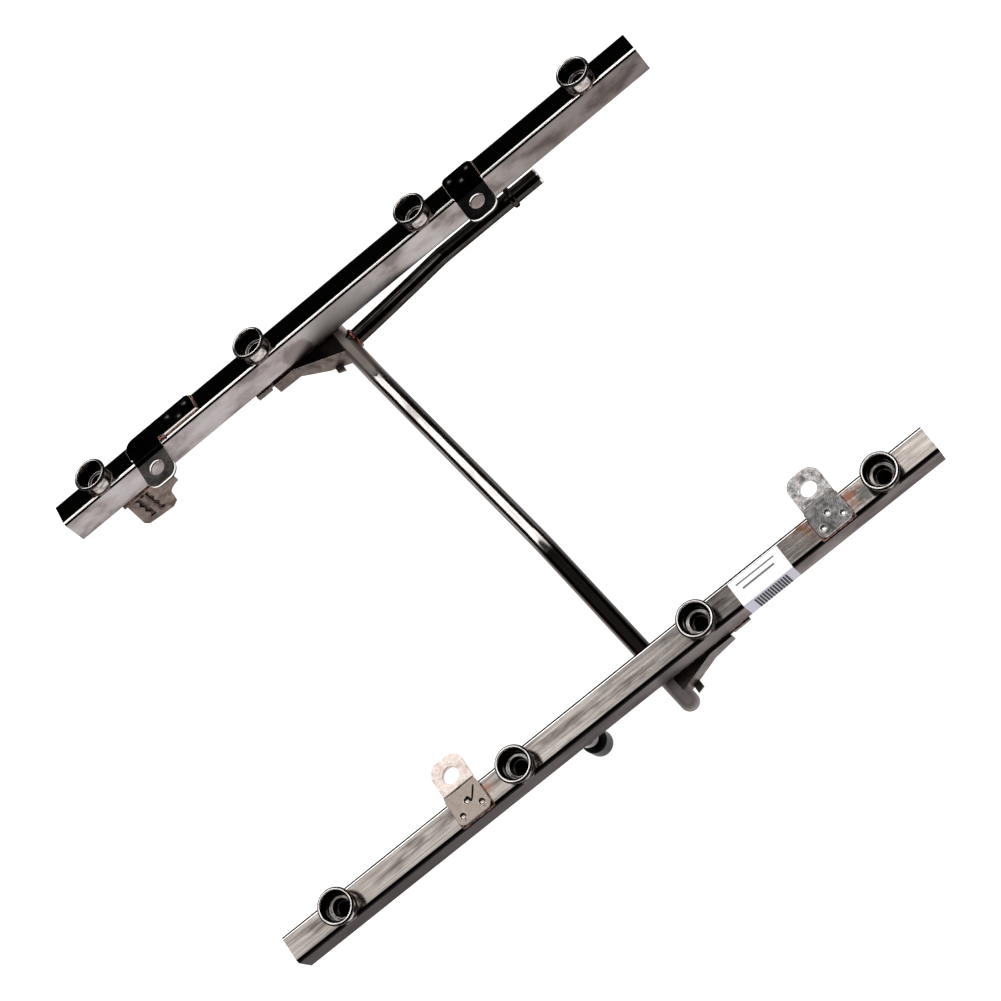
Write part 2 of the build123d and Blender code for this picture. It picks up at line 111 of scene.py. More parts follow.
# Masks, each 1 where a finish applies and 0 elsewhere, made as small functions of (tree, coords)
def around(point, reach, crisp=0.5, ragged=0.3, grain=3.0, along=1.0):
    # a spot with a wandering edge, in millimetres; along above 1 draws it out into streaks
    def mask(tree, coords):
        away = addNode(tree, "ShaderNodeVectorMath", {0: coords, 1: point}, "Value", operation="DISTANCE")
        cells = addNode(tree, "ShaderNodeMapping", {"Vector": coords, "Scale": perMm(grain * along, grain, grain)}, 0)
        wander = addNode(tree, "ShaderNodeTexNoise", {"Vector": cells, "Scale": 1.0, "Detail": 3.0,
                                                      "Roughness": 0.6}, 0)
        drift = ragged * reach / 1000
        wander = addNode(tree, "ShaderNodeMapRange", {0: wander, **noiseSpan["wander"], 3: -drift, 4: drift}, 0)
        away = addNode(tree, "ShaderNodeMath", {0: away, 1: wander}, 0, operation="ADD")
        return addNode(tree, "ShaderNodeMapRange", {0: away, 1: crisp * reach / 1000, 2: reach / 1000,
                                                    3: 1.0, 4: 0.0}, 0)
    return mask


def facing(direction, low=0.8, high=0.97):
    # surfaces turned to the direction, rising from 0 to 1 between two cosines
    def mask(tree, coords):
        normal = addNode(tree, "ShaderNodeNewGeometry", output="Normal")
        turn = addNode(tree, "ShaderNodeVectorMath", {0: normal, 1: direction}, "Value", operation="DOT_PRODUCT")
        return addNode(tree, "ShaderNodeMapRange", {0: turn, 1: low, 2: high}, 0)
    return mask


def between(direction, low, high):
    # surfaces whose slope to the direction lies between two cosines, such as a rolled edge
    def mask(tree, coords):
        normal = addNode(tree, "ShaderNodeNewGeometry", output="Normal")
        turn = addNode(tree, "ShaderNodeVectorMath", {0: normal, 1: direction}, "Value", operation="DOT_PRODUCT")
        soft = slopeSoftness
        rise = addNode(tree, "ShaderNodeMapRange", {0: turn, 1: low - soft["low"], 2: low + soft["low"]}, 0)
        fall = addNode(tree, "ShaderNodeMapRange", {0: turn, 1: high - soft["high"], 2: high + soft["high"],
                                                    3: 1.0, 4: 0.0}, 0)
        return addNode(tree, "ShaderNodeMath", {0: rise, 1: fall}, 0, operation="MULTIPLY")
    return mask


def reaching(axis, start, end):
    # rises from 0 at start to 1 at end, in metres along one axis
    def mask(tree, coords):
        parts = addNode(tree, "ShaderNodeSeparateXYZ", {0: coords})
        return addNode(tree, "ShaderNodeMapRange", {0: parts.outputs[axis], 1: start, 2: end}, 0)
    return mask


def both(first, second):
    # where two masks meet
    def mask(tree, coords):
        return addNode(tree, "ShaderNodeMath", {0: first(tree, coords), 1: second(tree, coords)}, 0,
                       operation="MULTIPLY")
    return mask


# how much the soft clouds of scale darken the metal
cloudShades = ((0.0, "#b2abaa"), (0.45, "#e6e2e0"), (1.0, "#ffffff"))


def clouded(stops, axis, start, end, cloud):
    # tone that drifts along one axis, with soft clouds of the given size in millimetres
    def tint(tree, coords):
        tone = addNode(tree, "ShaderNodeValToRGB", {"Fac": reaching(axis, start, end)(tree, coords)}, 0, stops)
        cells = addNode(tree, "ShaderNodeMapping", {"Vector": coords, "Scale": perMm(*cloud)}, 0)
        puff = addNode(tree, "ShaderNodeTexNoise", {"Vector": cells, "Scale": 1.0, "Detail": 4.0,
                                                    "Roughness": 0.55}, 0)
        puff = addNode(tree, "ShaderNodeMapRange", {0: puff, **noiseSpan["cloud"]}, 0)
        shade = addNode(tree, "ShaderNodeValToRGB", {"Fac": puff}, 0, cloudShades)
        return addNode(tree, "ShaderNodeMix", {0: 1.0, 6: tone, 7: shade}, 2, data_type="RGBA", blend_type="MULTIPLY")
    return tint


def metalLook(name, look, zones=()):
    # base tone with lengthwise streaks and blotches, fine drawing lines in the bump; edgeTint greys
    # what shows at a glancing angle; each zone is (mask, tint, amount, roughness)
    material, tree, shader = startMaterial(name, 1.0, look["roughness"][0])
    coords = addNode(tree, "ShaderNodeTexCoord", output="Object")
    layers = {}
    for layer, detail in (("streak", 4.0), ("blotch", 3.0), ("fine", 2.0)):
        cells = addNode(tree, "ShaderNodeMapping", {"Vector": coords, "Scale": perMm(*look[layer + "Size"])}, 0)
        layers[layer] = addNode(tree, "ShaderNodeTexNoise", {"Vector": cells, "Scale": 1.0, "Detail": detail,
                                                             "Roughness": 0.6}, 0)
    spread = addNode(tree, "ShaderNodeMapRange", {0: layers["streak"], **noiseSpan["streak"]}, 0)
    streakTone = addNode(tree, "ShaderNodeValToRGB", {"Fac": spread}, 0,
                         ((0.0, look["dark"]), (0.5, look["base"]), (1.0, look["pale"])))
    spread = addNode(tree, "ShaderNodeMapRange", {0: layers["blotch"], **noiseSpan["blotch"]}, 0)
    blotchTone = addNode(tree, "ShaderNodeValToRGB", {"Fac": spread}, 0,
                         ((0.0, look["blotchDark"]), (0.55, "#ffffff"), (1.0, look["blotchPale"])))
    colour = addNode(tree, "ShaderNodeMix", {0: look["blotchAmount"], 6: streakTone, 7: blotchTone}, 2,
                     data_type="RGBA", blend_type="MULTIPLY")
    low, high = look["roughness"]
    wear = addNode(tree, "ShaderNodeMath", {0: layers["fine"], 1: layers["blotch"]}, 0, operation="ADD")
    rough = addNode(tree, "ShaderNodeMapRange", {0: wear, **noiseSpan["wear"], 3: low, 4: high}, 0)
    shader.inputs["Specular Tint"].default_value = hexColour(look.get("edgeTint", "#ffffff"))
    for mask, tint, amount, zoneRough in zones:
        share = addNode(tree, "ShaderNodeMath", {0: mask(tree, coords), 1: amount}, 0, operation="MULTIPLY")
        tone = hexColour(tint) if isinstance(tint, str) else tint(tree, coords)
        colour = addNode(tree, "ShaderNodeMix", {0: share, 6: colour, 7: tone}, 2, data_type="RGBA")
        if zoneRough:
            rough = addNode(tree, "ShaderNodeMix", {0: share, 2: rough, 3: zoneRough}, 0, data_type="FLOAT")
    tree.links.new(colour, shader.inputs["Base Color"])
    tree.links.new(rough, shader.inputs["Roughness"])
    height = addNode(tree, "ShaderNodeMath", {0: layers["streak"], 1: relief["streaksOverFine"],
                                              2: layers["fine"]}, 0, operation="MULTIPLY_ADD")
    bump = addNode(tree, "ShaderNodeBump", {"Strength": look["bump"], "Distance": relief["depth"],
                                            "Height": height}, "Normal")
    tree.links.new(bump, shader.inputs["Normal"])
    return material


def dress(material, *names):
    for name in names:
        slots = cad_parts[name].material_slots
        for slot in slots:
            slot.material = material
        if not slots:
            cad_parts[name].data.materials.append(material)


# Cold drawn stainless tube, dulled by the brazing furnace: warm grey with lengthwise draw lines. Real ones
# are finer than the render can show, so the streaks are drawn coarser.
drawnStainless = {"base": "#a69e98", "dark": "#756d69", "pale": "#c6bfb9", "streakSize": (70.0, 1.3, 1.3),
                  "blotchSize": (26.0, 6.0, 6.0), "fineSize": (14.0, 0.25, 0.25), "blotchDark": "#9a9391",
                  "blotchPale": "#f2efec", "blotchAmount": 0.9, "roughness": (0.08, 0.16), "bump": 0.08}
# Deep drawn stainless cups: bright, with rings of wear round the lip
drawnCup = {"base": "#b3aca8", "dark": "#857d7a", "pale": "#d2ccc8", "streakSize": (5.0, 5.0, 1.2),
            "blotchSize": (5.0, 5.0, 3.0), "fineSize": (1.2, 1.2, 0.3), "blotchDark": "#6e6461",
            "blotchPale": "#f2eeea", "blotchAmount": 0.8, "roughness": (0.06, 0.16), "bump": 0.03}
# Zinc plated pressed sheet: cool pale grey with a loose spangle
platedSheet = {"base": "#a6a3a2", "dark": "#7b7877", "pale": "#d0cdca", "streakSize": (2.2, 2.2, 2.2),
               "blotchSize": (4.0, 4.0, 4.0), "fineSize": (0.6, 0.6, 0.6), "blotchDark": "#7d7a79",
               "blotchPale": "#f0ece8", "blotchAmount": 0.9, "roughness": (0.14, 0.34), "bump": 0.3}
# Round stainless tube, bright drawn
drawnRound = {"base": "#a39c98", "dark": "#857e7b", "pale": "#bab3af", "streakSize": (2.0, 40.0, 2.0),
              "blotchSize": (8.0, 22.0, 8.0), "fineSize": (0.4, 12.0, 0.4), "blotchDark": "#a39b97",
              "blotchPale": "#eeeae6", "blotchAmount": 0.6, "roughness": (0.05, 0.1), "bump": 0.03}
# The inlet tube is painted darker, standing in for the dark surroundings it mirrors
oiledRound = dict(drawnRound, base="#3c3937", dark="#2c2928", pale="#504c49", edgeTint="#8a8583",
                  streakSize=(40.0, 2.0, 2.0), fineSize=(12.0, 0.4, 0.4), roughness=(0.05, 0.12))
# Pressed sheet browned by the torch
brownedSheet = {"base": "#8d807a", "dark": "#6a5f5a", "pale": "#a39690", "streakSize": (5.0, 5.0, 5.0),
                "blotchSize": (7.0, 7.0, 7.0), "fineSize": (0.9, 0.9, 0.9), "blotchDark": "#8a7770",
                "blotchPale": "#efe6df", "blotchAmount": 0.7, "roughness": (0.38, 0.55), "bump": 0.15}
# Oil-dipped pressed sheet: nearly black and glossy, its bright edges painted on as highlights
oiledSheet = dict(brownedSheet, base="#2c2a29", dark="#222020", pale="#363433", roughness=(0.08, 0.16), bump=0.04)

# Directions in the scene: cup faces, rail sides and the short slopes between bracket plates and tabs
bankTurn = {bank: Matrix.Rotation(math.radians(banks[bank]["tilt"]), 3, "X") for bank in "ab"}
faceUp = {bank: bankTurn[bank] @ Vector((0, 0, 1)) for bank in "ab"}
viewerSide = {bank: bankTurn[bank] @ Vector((0, -1, 0)) for bank in "ab"}
farSide = {bank: -viewerSide[bank] for bank in "ab"}
slope = {"a": Vector((0.0, 0.643, 0.766)), "b": Vector((0.0, -0.643, 0.766))}  # leaning 40 degrees
tabTopHalf = reaching(2, 0.0499, 0.0501)  # upper half of a tab's sheared wall
gussetPlate = reaching(2, 0.0255, 0.0275)  # the flat of the gussets, above their flanges
railSpan = (-0.204, 0.204)  # start and end of the clouds along the rails, in metres
# Furnace scale on the rail sides: soft clouds from near black to pale grey along the rail
scaleA = clouded(((0.0, "#3a3638"), (0.3, "#4e494b"), (0.5, "#5e585a"), (0.72, "#938c8c"), (1.0, "#777171")),
                 0, *railSpan, (34.0, 14.0, 14.0))
scaleB = clouded(((0.0, "#a8a2a3"), (0.4, "#a29b9b"), (0.72, "#a8a2a0"), (0.82, "#7b7472"), (1.0, "#736c6b")),
                 0, *railSpan, (26.0, 13.0, 13.0))
copperTone = "#92604c"
bareEdge = "#f4f0ec"  # painted highlight: near white, for edges, bends, dimples and tube ends that catch the light
burntEdge = "#12100f"  # painted dark reflection: near black, for rounded edges that mirror the dark
nearCorner = (faceUp["a"] + viewerSide["a"]).normalized()
# Rail of bank a: streaked warm grey face between a painted highlight and painted dark reflections along its edges,
# clouded sides
railSteelA = metalLook("drawnStainlessRailA", dict(drawnStainless, edgeTint="#c4c1c0"), (
    (facing(viewerSide["a"]), scaleA, 1.0, 0.3),
    # paler and matt on the viewer side, over the crossover's end
    (both(facing(viewerSide["a"]), around(inScene("a", (207.0, -7.9, -14.0)), 30.0, 0.1, 0.1)), "#a09997", 0.8, 0.8),
    (facing(farSide["a"]), scaleB, 1.0, 0.3),
    (facing(nearCorner, 0.74, 0.8), "#171514", 1.0, 0.25),  # painted dark reflection: the near corner is painted black where it mirrors the dark
    (both(between(faceUp["a"], 0.93, 0.99), facing(farSide["a"], 0.08, 0.14)), bareEdge, 1.0, 0.12),
    (both(between(faceUp["a"], 0.1, 0.93), facing(farSide["a"], 0.25, 0.3)), burntEdge, 1.0, 0.3),
    # copper that crept over the face beside both brackets
    (around(inScene("a", (290.0, 2.5, 0.0)), 6.5, 0.2, 0.9, 1.6, 3.0), copperTone, 0.85, None),
    (around(inScene("a", (316.5, 1.5, 0.0)), 6.0, 0.2, 0.9, 1.6, 3.0), copperTone, 0.9, None),
    (around(inScene("a", (323.0, -1.0, 0.0)), 6.0, 0.4, 0.4), "#464b49", 0.7, None),
    (around(inScene("a", (93.6, 1.5, 0.0)), 3.2, 0.3, 0.7, 1.5, 2.0), "#a3705c", 0.6, None)))
# Rail of bank b: a dark glossy face that mirrors the gap between the lights, clouded sides, a painted highlight and a
# painted dark reflection along the near edge
railSteelB = metalLook("drawnStainlessRailB", drawnStainless, (
    # painted dark reflection: the cup face is tinted dark to deepen its black mirror image of the gap
    (facing(faceUp["b"], 0.98, 0.995), "#37322f", 0.85, 0.06),
    (facing(viewerSide["b"]), scaleB, 1.0, 0.3),
    # painted light: a pale matt patch over the crossover, covering the dark mirror image of the tube, inlet and
    # gusset below
    (both(facing(viewerSide["b"]), around(inScene("b", (166.0, -7.9, -14.0)), 38.0, 0.1, 0.1)), "#d3ccc9", 0.8, 0.8),
    (facing(farSide["b"]), scaleB, 1.0, 0.3),
    (both(between(faceUp["b"], 0.72, 0.985), facing(viewerSide["b"], 0.1, 0.16)), bareEdge, 1.0, 0.14),
    (both(between(faceUp["b"], 0.25, 0.68), facing(viewerSide["b"], 0.1, 0.16)), burntEdge, 1.0, 0.3),
    (around(inScene("b", (134.7, -7.9, -13.0)), 10.0, 0.8, 0.15), "#6a605d", 0.75, 0.3)))  # over the gusset
cupSteel = metalLook("deepDrawnCup", drawnCup)
# painted highlight: the rolled lip is painted near white; painted shade in the bore, seat and socket, and painted
# dark reflection on the back of the roll
lipSteel = metalLook("paintedHighlightLip", dict(drawnCup, base="#f0ece9", dark="#e0dbd8", pale="#fbf8f6",
                                         blotchDark="#d8d3d0", roughness=(0.12, 0.2)))
boreSteel = metalLook("paintedShadeBore", dict(drawnCup, base="#2b2726", dark="#1f1c1b", pale="#3b3736",
                                        roughness=(0.1, 0.2)))
seatSteel = metalLook("paintedShadeSeat", dict(drawnCup, base="#8f8a87", dark="#6e6967", pale="#aaa5a2",
                                       blotchDark="#7c7673", roughness=(0.16, 0.26)))
plateMiddle = {"a_left": 81.6, "a_right": 303.8, "b_left": 64.0, "b_right": 261.12}  # along the rail
# Dimples of a bracket, from the middle of its plate: along the rail and outwards; height above the cup face
dimples = {"spots": ((-5.9, 2.7), (5.9, 2.7), (0.0, -2.2)), "height": 2.2}


def dimpleZones(plate, tint, amount, reach=2.2):
    # painted highlight or painted shade, by the tint given, on the three dimples of a bracket
    bank = plate[0]
    spots = [(plateMiddle[plate] + x, y * banks[bank]["outward"], dimples["height"]) for x, y in dimples["spots"]]
    return tuple((around(inScene(bank, spot), reach, 0.6, 0.15), tint, amount, 0.3) for spot in spots)


def oiledSheetZones(plate, slopeTint, dimpleRim):
    # bank b: painted highlights on the sheared edges and the top of the tab's wall round black sheet, black slope,
    # dimples with a painted shade rim and a grey painted highlight in the middle
    return ((between(faceUp["b"], 0.1, 0.92), bareEdge, 0.95, 0.3),
            (both(between(faceUp["b"], -0.2, 0.2), tabTopHalf), bareEdge, 1.0, 0.3),
            (both(facing(slope["b"], 0.75, 0.82), reaching(1, 0.133, 0.1335)), slopeTint, 1.0, 0.2),
            *dimpleZones(plate, dimpleRim, 1.0, 2.9), *dimpleZones(plate, "#5a5654", 1.0, 1.5))


# Zinc plated plate: spangled, with painted highlights on its rims, bend and dimples
zincBright = metalLook("zincSpangleSheet", platedSheet, (
    (facing(faceUp["a"], 0.985, 0.997), "#5b595a", 0.55, None),
    (facing(slope["a"], 0.85, 0.95), bareEdge, 0.9, 0.6),
    (between(faceUp["a"], 0.15, 0.85), bareEdge, 0.8, None)) + dimpleZones("a_right", bareEdge, 1.0))
# Acid-pickled plate: chalky and even on the tab, browner where it was brazed, with a dark rim, a painted highlight
# along the bend and on the dimples
pickledSheet = metalLook("pickledSheet", dict(platedSheet, base="#beb3ad", dark="#b1a6a0", pale="#cbc1bb",
                                              blotchDark="#ddd3cd", roughness=(0.14, 0.24), bump=0.12), (
    (facing(faceUp["a"], 0.985, 0.997), "#94877d", 0.75, 0.16),
    (facing(slope["a"], 0.85, 0.95), "#d9cdc6", 0.9, 0.6),
    (both(between(faceUp["a"], -0.2, 0.85),
          around(inScene("a", (plateMiddle["a_left"], -3.0, 1.0)), 14.0, 0.9, 0.05)), "#2b2725", 0.9, None))
    + dimpleZones("a_left", "#d8cdc5", 0.5))
# Oil-dipped strap and plate: glossy black inside painted highlights along the sheared edges
darkBracket = metalLook("oiledPressedStrap", oiledSheet, oiledSheetZones("b_left", "#1b1a1a", "#161515"))
# painted dark reflection: the right bracket is a darker copy of the oiled sheet, black for the dark it mirrors
blackBracket = metalLook("oiledSheetPaintedBlack", dict(oiledSheet, base="#0d0c0c", dark="#090808", pale="#141313"),
                         oiledSheetZones("b_right", "#0d0c0c", "#0d0c0c"))
# Crossover tube: a bright line along the top, painted dark reflection on the flanks and towards rail a, dull and
# scaled near both rails
tubeSteel = metalLook("brightDrawnTube", dict(drawnRound, base="#bdb7b4", dark="#a29c99", pale="#d6d1ce"), (
    (reaching(1, -0.047, -0.057), "#1d1918", 1.0, 0.2),  # painted dark reflection towards rail a, where the tube mirrors the dark
    # painted dark reflection on both flanks, darker on the flank towards +x
    (facing((0.99, 0.143, 0.0), 0.62, 0.8), "#312b29", 1.0, 0.3),
    (facing((-0.99, -0.143, 0.0), 0.62, 0.8), "#5b524e", 1.0, 0.3),
    (reaching(1, 0.088, 0.106), "#8a807c", 1.0, 0.5),
    (reaching(1, -0.138, -0.15), "#a29998", 1.0, 0.7)))
# Inlet tube: painted nearly black as dark reflection, with a painted highlight at the open end
inletSteel = metalLook("darkPaintedDrawnTube", oiledRound, ((reaching(0, 0.1221, 0.1227), bareEdge, 0.9, 0.12),))
# Gussets: browned by the torch, with painted dark reflection on the flat under the rail and a painted highlight along
# the bend
gussetSteel = metalLook("brownedSheet", dict(brownedSheet, base="#6b615c", dark="#4f4642", pale="#80756f"), (
    (both(facing((0, 0, 1), 0.9, 0.97), gussetPlate), "#262120", 0.9, 0.2),
    (both(between((0, 0, 1), 0.25, 0.85), gussetPlate), bareEdge, 0.8, 0.25)))
# Clip plate: warm grey-brown and dull
clipSteel = metalLook("clipSheet", dict(brownedSheet, base="#776a64", dark="#5c524d", pale="#8c7f78"))
# Test port: turned steel dark with oil, and a turned brass core
portSteel = metalLook("oiledTurnedSteel", dict(drawnCup, base="#35302e", dark="#292523", pale="#443f3c"))
coreBrass = metalLook("turnedBrass", dict(drawnCup, base="#b08a45", dark="#8a6a32", pale="#cfa75c"))
plugSteel = metalLook("pressedPlug", dict(platedSheet, base="#857e7a"))  # plated sheet, mid grey
# Copper braze: reddish, smooth where it ran, dull where it oxidised
brazeCopper = metalLook("copperBraze", {"base": "#9c7263", "dark": "#5d4740", "pale": "#c59c8a",
                                        "streakSize": (2.5, 2.5, 2.5), "blotchSize": (5.0, 5.0, 5.0),
                                        "fineSize": (0.5, 0.5, 0.5), "blotchDark": "#6f6663",
                                        "blotchPale": "#f4ebe4", "blotchAmount": 0.8,
                                        "roughness": (0.16, 0.34), "bump": 0.3})
# Copper braze left glossy and deep red where the inlet tube joins
redBraze = metalLook("glossyCopperBraze", {"base": "#6e3d30", "dark": "#331d18", "pale": "#a86a56",
                                           "streakSize": (2.5, 2.5, 2.5), "blotchSize": (3.0, 3.0, 3.0),
                                           "fineSize": (0.5, 0.5, 0.5), "blotchDark": "#5a4a45",
                                           "blotchPale": "#f4ebe4", "blotchAmount": 0.8,
                                           "roughness": (0.1, 0.2), "bump": 0.2})
# Braze scaled over by the furnace: grey with only a hint of red
scaledBraze = metalLook("scaledBraze", {"base": "#5f5350", "dark": "#3c3332", "pale": "#877670",
                                        "streakSize": (3.0, 3.0, 3.0), "blotchSize": (5.0, 5.0, 5.0),
                                        "fineSize": (0.5, 0.5, 0.5), "blotchDark": "#7c7270",
                                        "blotchPale": "#f4ebe4", "blotchAmount": 0.7,
                                        "roughness": (0.22, 0.4), "bump": 0.25})


# Cap: polypropylene, moulded: deep black with a soft sheen; sizes of its eroded grain and of its clouds
capLook = {"dark": "#060606", "pale": "#0d0d0e", "grain": 0.5, "cloud": 5.0, "roughness": (0.34, 0.5),
           "bump": 0.2, "depth": 0.0001}


def mouldedCap():
    material, tree, shader = startMaterial("mouldedPolypropylene", 0.0, 0.4)
    shader.inputs["IOR"].default_value = 1.49
    shader.inputs["Specular IOR Level"].default_value = 0.15
    coords = addNode(tree, "ShaderNodeTexCoord", output="Object")
    grain = addNode(tree, "ShaderNodeTexNoise", {"Vector": coords, "Scale": 1000 / capLook["grain"],
                                                 "Detail": 3.0}, 0)
    cloud = addNode(tree, "ShaderNodeTexNoise", {"Vector": coords, "Scale": 1000 / capLook["cloud"],
                                                 "Detail": 2.0}, 0)
    colour = addNode(tree, "ShaderNodeMix", {0: cloud, 6: hexColour(capLook["dark"]),
                                             7: hexColour(capLook["pale"])}, 2, data_type="RGBA")
    low, high = capLook["roughness"]
    rough = addNode(tree, "ShaderNodeMapRange", {0: grain, **noiseSpan["grain"], 3: low, 4: high}, 0)
    bump = addNode(tree, "ShaderNodeBump", {"Strength": capLook["bump"], "Distance": capLook["depth"],
                                            "Height": grain}, "Normal")
    for value, socket in ((colour, "Base Color"), (rough, "Roughness"), (bump, "Normal")):
        tree.links.new(value, shader.inputs[socket])
    return material


# Label: bare paper with a block of even bars on the rail's side and two plain rules above it. Bars and
# rules are placed in the frame of bank a; a rule is its reach, its place across the face and its half width.
paperPrint = {"paper": ("#e4e3e2", "#f9f8f7"), "fibre": (1.4, 0.5, 0.5), "bump": 0.15, "depth": 0.00005,
              "side": "#b9b6c4", "sideFrom": -7.3, "barInk": "#17171a", "ruleInk": "#3a3a3e", "ruleStrength": 0.9,
              "bars": (250.6, 270.8), "barPitch": 1.55, "barShare": 0.72, "barLow": -18.6, "barHigh": -1.2,
              "rules": (((250.0, 269.0), -0.3, 0.55), ((248.0, 271.0), 2.9, 0.4))}


def paper():
    # uncoated paper: matt white with faint fibres, painted shade in lilac grey where it hangs down the rail's side
    material, tree, shader = startMaterial("uncoatedPaper", 0.0, 0.8)
    shader.inputs["IOR"].default_value = 1.5
    coords = addNode(tree, "ShaderNodeTexCoord", output="Object")
    cells = addNode(tree, "ShaderNodeMapping", {"Vector": coords, "Scale": perMm(*paperPrint["fibre"])}, 0)
    fibre = addNode(tree, "ShaderNodeTexNoise", {"Vector": cells, "Scale": 1.0, "Detail": 4.0, "Roughness": 0.6}, 0)
    colour = addNode(tree, "ShaderNodeMix", {0: fibre, 6: hexColour(paperPrint["paper"][0]),
                                             7: hexColour(paperPrint["paper"][1])}, 2, data_type="RGBA")
    local = addNode(tree, "ShaderNodeMapping", {"Vector": coords, "Location": -inScene("a", (0, 0, 0))}, 0)
    local = addNode(tree, "ShaderNodeMapping", {"Vector": local, "Scale": (1000.0, 1000.0, 1000.0),
                                                "Rotation": (math.radians(-banks["a"]["tilt"]), 0, 0)}, 0)
    parts = addNode(tree, "ShaderNodeSeparateXYZ", {0: local}).outputs
    # painted shade on the part that hangs down the rail's side
    side = addNode(tree, "ShaderNodeMath", {0: parts[1], 1: paperPrint["sideFrom"]}, 0, operation="LESS_THAN")
    colour = addNode(tree, "ShaderNodeMix", {0: side, 6: colour, 7: hexColour(paperPrint["side"])}, 2,
                     data_type="RGBA")

    def within(value, low, high):
        over = addNode(tree, "ShaderNodeMath", {0: value, 1: low}, 0, operation="GREATER_THAN")
        under = addNode(tree, "ShaderNodeMath", {0: value, 1: high}, 0, operation="LESS_THAN")
        return addNode(tree, "ShaderNodeMath", {0: over, 1: under}, 0, operation="MULTIPLY")

    beat = addNode(tree, "ShaderNodeMath", {0: parts[0], 1: paperPrint["bars"][0]}, 0, operation="SUBTRACT")
    beat = addNode(tree, "ShaderNodeMath", {0: beat, 1: paperPrint["barPitch"]}, 0, operation="DIVIDE")
    beat = addNode(tree, "ShaderNodeMath", {0: beat}, 0, operation="FRACT")
    bars = addNode(tree, "ShaderNodeMath", {0: beat, 1: paperPrint["barShare"]}, 0, operation="LESS_THAN")
    for other in (side, within(parts[0], *paperPrint["bars"]),
                  within(parts[2], paperPrint["barLow"], paperPrint["barHigh"])):
        bars = addNode(tree, "ShaderNodeMath", {0: bars, 1: other}, 0, operation="MULTIPLY")
    colour = addNode(tree, "ShaderNodeMix", {0: bars, 6: colour, 7: hexColour(paperPrint["barInk"])}, 2,
                     data_type="RGBA")
    for reach, height, thick in paperPrint["rules"]:
        line = addNode(tree, "ShaderNodeMath", {0: within(parts[0], *reach),
                                                1: within(parts[1], height - thick, height + thick)}, 0,
                       operation="MULTIPLY")
        line = addNode(tree, "ShaderNodeMath", {0: line, 1: paperPrint["ruleStrength"]}, 0, operation="MULTIPLY")
        colour = addNode(tree, "ShaderNodeMix", {0: line, 6: colour, 7: hexColour(paperPrint["ruleInk"])}, 2,
                         data_type="RGBA")
    tree.links.new(colour, shader.inputs["Base Color"])
    bump = addNode(tree, "ShaderNodeBump", {"Strength": paperPrint["bump"], "Distance": paperPrint["depth"],
                                            "Height": fibre}, "Normal")
    tree.links.new(bump, shader.inputs["Normal"])
    return material


dress(railSteelA, "rail_tube_a")
dress(railSteelB, "rail_tube_b")
dress(plugSteel, "end_plug_a_left", "end_plug_a_right", "end_plug_b_left", "end_plug_b_right")
dress(cupSteel, *[f"injector_cup_{bank}{i}" for bank in "ab" for i in range(1, 5)])
dress(zincBright, "bracket_a_right")
dress(pickledSheet, "bracket_a_left")
dress(darkBracket, "bracket_b_left")
dress(blackBracket, "bracket_b_right")
dress(tubeSteel, "crossover_tube")
dress(inletSteel, "inlet_tube")
dress(gussetSteel, "crossover_gusset_a", "crossover_gusset_b")
dress(clipSteel, "harness_clip_plate")
dress(portSteel, "test_port_body")
dress(coreBrass, "test_port_core")
dress(mouldedCap(), "test_port_cap")
dress(paper(), "paper_label")
print("stage 1: materials on the packed solids")


def finishPiece(mesh, name, materials, slot, sharp=None):
    # puts a bmesh in the scene as a piece that rides with the object
    bmesh.ops.recalc_face_normals(mesh, faces=mesh.faces)
    data = bpy.data.meshes.new(name)
    mesh.to_mesh(data)
    mesh.free()
    data.shade_smooth()
    if sharp:
        data.set_sharp_from_angle(angle=math.radians(sharp))
    for material in materials:
        data.materials.append(material)
    piece = bpy.data.objects.new(name, data)
    bpy.context.scene.collection.objects.link(piece)
    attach(piece, "root")
    return piece


# Injector cup: drawn bell with a rolled lip and a stepped bore; radius and height pairs
cupShape = {"outside": ((5.6, -5.0), (5.6, 0.0), (7.6, 0.0), (7.6, 3.0), (7.6, 5.7), (7.68, 6.3), (7.95, 6.95)),
            "roll": ((8.45, 7.6), (9.0, 8.15), (9.45, 8.6), (9.65, 8.95), (9.63, 9.25), (9.5, 9.6), (9.27, 9.88),
                     (8.97, 10.08)),
            "lip": ((8.8, 10.16), (8.5, 10.2), (8.28, 10.18), (8.08, 10.08), (7.9, 9.85)),
            "inside": ((7.72, 9.4), (7.45, 8.7), (7.1, 8.05), (6.86, 7.4), (6.74, 6.8), (6.7, 6.2),
                       (6.7, 3.0), (6.7, 1.5)),
            "seat": ((6.6, 1.15), (6.3, 0.95), (5.8, 0.9), (5.1, 0.9), (4.8, 0.78), (4.7, 0.5)),
            "socket": ((4.7, -2.0), (4.7, -3.9), (4.5, -4.1), (3.6, -4.1), (3.4, -4.25), (3.4, -5.0)),
            "steps": 96, "weld": 1e-4}
# finish of each band of the cup: painted highlight on the lip, painted shade and dark reflection on the roll, bore,
# seat and socket
cupFinish = {"outside": cupSteel, "roll": boreSteel, "lip": lipSteel, "inside": boreSteel, "seat": seatSteel,
             "socket": boreSteel}


